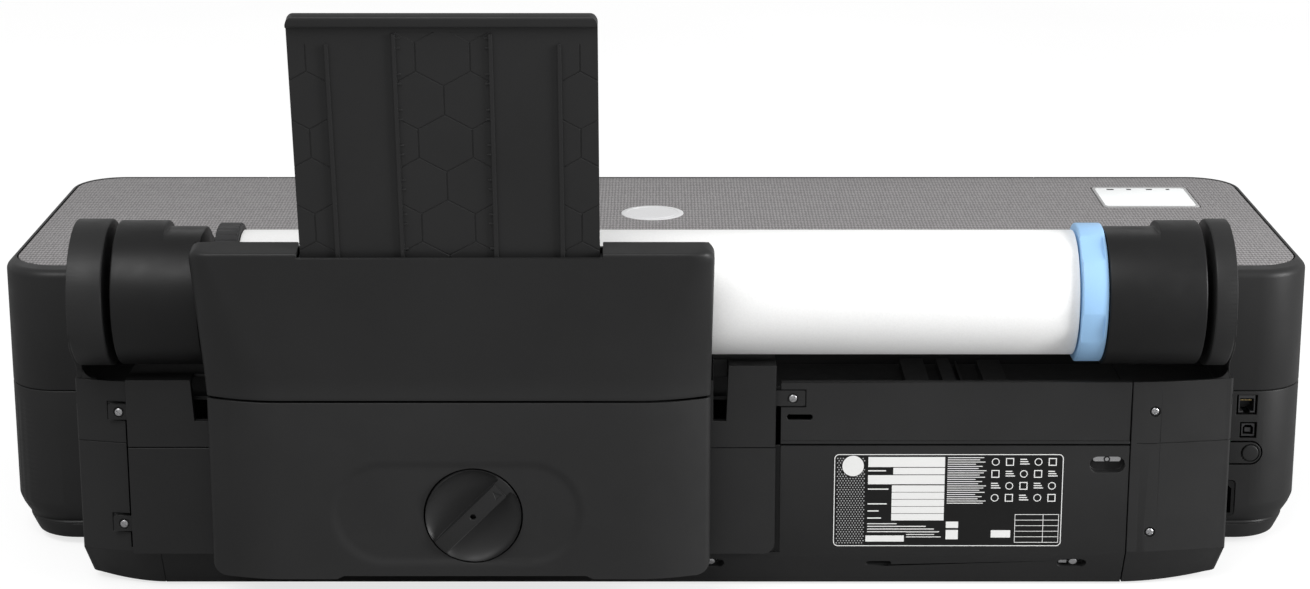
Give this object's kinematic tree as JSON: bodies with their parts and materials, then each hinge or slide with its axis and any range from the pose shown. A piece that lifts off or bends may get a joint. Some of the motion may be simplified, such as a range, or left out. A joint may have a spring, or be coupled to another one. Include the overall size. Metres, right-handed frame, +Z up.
{
  "type": "large format plotter",
  "caption": "Desktop large format plotter with a rear paper roll on a spindle, a rear sheet feeder with a pull-out extension, and a print carriage and ink bay inside.",
  "frame": {"origin": "middle of the bounding box footprint, on the surface the plotter stands on", "axes": "+X along the plotter's width, to the right as seen from behind; +Y from the rear towards the front, where printed paper comes out; +Z up"},
  "size_m": [1.013, 0.548, 0.4582],
  "materials": {
    "charcoal_shell": "fine matte moulded charcoal plastic",
    "dark_plastic": "matte dark grey plastic",
    "top_grey": "woven dot texture on grey plastic",
    "black_plastic": "matte black plastic",
    "paper": "matt white plotter paper",
    "card": "spiral wound card tube",
    "blue_plastic": "satin light blue plastic",
    "steel": "zinc plated sheet steel",
    "aluminium": "brushed aluminium",
    "screw_chrome": "bright plated screw",
    "rubber": "black rubber",
    "screen": "pale touch screen under glass",
    "smoke": "smoked clear plastic",
    "board_green": "green circuit board",
    "ink_black": "black cartridge body",
    "ink_cyan": "cyan cartridge body",
    "ink_magenta": "magenta cartridge body",
    "ink_yellow": "yellow cartridge body"
  },
  "bodies": {
    "plotter_frame": {"left_lower_cover": "charcoal_shell", "left_upper_cover": "charcoal_shell", "right_lower_cover": "charcoal_shell", "right_upper_cover": "charcoal_shell", "rear_cover": "charcoal_shell", "front_top_beam": "charcoal_shell", "front_fascia": "charcoal_shell", "top_panel": "top_grey", "display": "screen", "chassis": "steel", "paper_path_plate": "dark_plastic", "guide_rail": "steel", "service_station": "dark_plastic", "power_supply": "aluminium", "carriage_belt": "rubber", "carriage_motor": "aluminium", "ink_bay": "dark_plastic", "main_board": "board_green", "ethernet_jack": "aluminium", "usb_port": "aluminium", "power_inlet": "black_plastic", "left_end_cap": "charcoal_shell", "right_end_cap": "charcoal_shell", "trough_panel": "charcoal_shell", "rear_panel_lower": "charcoal_shell", "feeder_base": "charcoal_shell", "feeder_upper_cover": "charcoal_shell", "tab_screw_left_upper": "screw_chrome", "tab_screw_left_lower": "screw_chrome", "tab_screw_right": "screw_chrome", "front_left_foot": "rubber", "front_right_foot": "rubber", "rear_left_foot": "rubber", "rear_right_foot": "rubber"},
    "roll": {"spindle_shaft": "aluminium", "left_hub": "charcoal_shell", "right_hub": "charcoal_shell", "roll_flange": "dark_plastic", "roll_stopper": "blue_plastic", "paper_roll": "paper", "roll_core": "card"},
    "feeder_door": {"feeder_door": "charcoal_shell"},
    "feeder_knob": {"feeder_knob": "charcoal_shell"},
    "feeder_extension": {"feeder_extension": "charcoal_shell"},
    "paper_guide_left": {"paper_guide_left": "dark_plastic"},
    "paper_guide_right": {"paper_guide_right": "dark_plastic"},
    "pick_roller": {"pick_roller": "rubber"},
    "front_cover": {"front_cover": "smoke"},
    "ink_door": {"ink_door": "charcoal_shell"},
    "cartridge_black": {"cartridge_black": "ink_black"},
    "cartridge_cyan": {"cartridge_cyan": "ink_cyan"},
    "cartridge_magenta": {"cartridge_magenta": "ink_magenta"},
    "cartridge_yellow": {"cartridge_yellow": "ink_yellow"},
    "print_carriage": {"print_carriage": "black_plastic"},
    "belt_idler": {"belt_idler": "aluminium"},
    "cutter_carriage": {"cutter_carriage": "black_plastic"},
    "feed_roller": {"feed_roller": "rubber"},
    "pinch_roller": {"pinch_roller": "rubber"},
    "power_button": {"power_button": "charcoal_shell"}
  },
  "joints": [
    {"name": "roll_spin", "type": "hinge", "parent": "plotter_frame", "child": "roll", "pos_m": [0, -0.147, 0.2305], "axis": [1, 0, 0], "continuous": true},
    {"name": "feeder_door_swing", "type": "hinge", "parent": "plotter_frame", "child": "feeder_door", "pos_m": [-0.1435, -0.17, 0.036], "axis": [1, 0, 0], "range_deg": [0, 35]},
    {"name": "feeder_knob_turn", "type": "hinge", "parent": "feeder_door", "child": "feeder_knob", "pos_m": [-0.1334, -0.2, 0.078], "axis": [0, -1, 0], "range_deg": [0, 90]},
    {"name": "extension_slide", "type": "slide", "parent": "plotter_frame", "child": "feeder_extension", "axis": [0, -0.2164, 0.9763], "range_m": [-0.12, 0]},
    {"name": "paper_guide_left_slide", "type": "slide", "parent": "plotter_frame", "child": "paper_guide_left", "axis": [1, 0, 0], "range_m": [0, 0.06]},
    {"name": "paper_guide_right_slide", "type": "slide", "parent": "plotter_frame", "child": "paper_guide_right", "axis": [1, 0, 0], "range_m": [-0.06, 0]},
    {"name": "pick_roller_spin", "type": "hinge", "parent": "plotter_frame", "child": "pick_roller", "pos_m": [-0.143, -0.181, 0.102], "axis": [1, 0, 0], "continuous": true},
    {"name": "front_cover_lift", "type": "hinge", "parent": "plotter_frame", "child": "front_cover", "pos_m": [-0.0045, 0.2715, 0.2085], "axis": [1, 0, 0], "range_deg": [0, 75]},
    {"name": "ink_door_swing", "type": "hinge", "parent": "plotter_frame", "child": "ink_door", "pos_m": [0.395, 0.2715, 0.0445], "axis": [-1, 0, 0], "range_deg": [0, 85]},
    {"name": "cartridge_black_slide", "type": "slide", "parent": "plotter_frame", "child": "cartridge_black", "axis": [0, 1, 0], "range_m": [0, 0.06]},
    {"name": "cartridge_cyan_slide", "type": "slide", "parent": "plotter_frame", "child": "cartridge_cyan", "axis": [0, 1, 0], "range_m": [0, 0.06]},
    {"name": "cartridge_magenta_slide", "type": "slide", "parent": "plotter_frame", "child": "cartridge_magenta", "axis": [0, 1, 0], "range_m": [0, 0.06]},
    {"name": "cartridge_yellow_slide", "type": "slide", "parent": "plotter_frame", "child": "cartridge_yellow", "axis": [0, 1, 0], "range_m": [0, 0.06]},
    {"name": "carriage_slide", "type": "slide", "parent": "plotter_frame", "child": "print_carriage", "axis": [1, 0, 0], "range_m": [0, 0.76]},
    {"name": "belt_idler_spin", "type": "hinge", "parent": "plotter_frame", "child": "belt_idler", "pos_m": [-0.455, 0.097, 0.193], "axis": [0, 0, 1], "continuous": true},
    {"name": "cutter_slide", "type": "slide", "parent": "plotter_frame", "child": "cutter_carriage", "axis": [1, 0, 0], "range_m": [0, 0.6]},
    {"name": "feed_roller_spin", "type": "hinge", "parent": "plotter_frame", "child": "feed_roller", "pos_m": [0, 0.06, 0.106], "axis": [1, 0, 0], "continuous": true},
    {"name": "pinch_roller_spin", "type": "hinge", "parent": "plotter_frame", "child": "pinch_roller", "pos_m": [0, 0.06, 0.1194], "axis": [1, 0, 0], "continuous": true},
    {"name": "power_button_press", "type": "slide", "parent": "plotter_frame", "child": "power_button", "axis": [0, 1, 0], "range_m": [0, 0.0015], "stiffness_N_per_m": 400}
  ],
  "couplings": [
    {"joint": "paper_guide_right_slide", "follows": "paper_guide_left_slide", "ratio": -1},
    {"joint": "pinch_roller_spin", "follows": "feed_roller_spin", "ratio": -1.6},
    {"joint": "belt_idler_spin", "follows": "carriage_slide", "rad_per_m": -125}
  ]
}
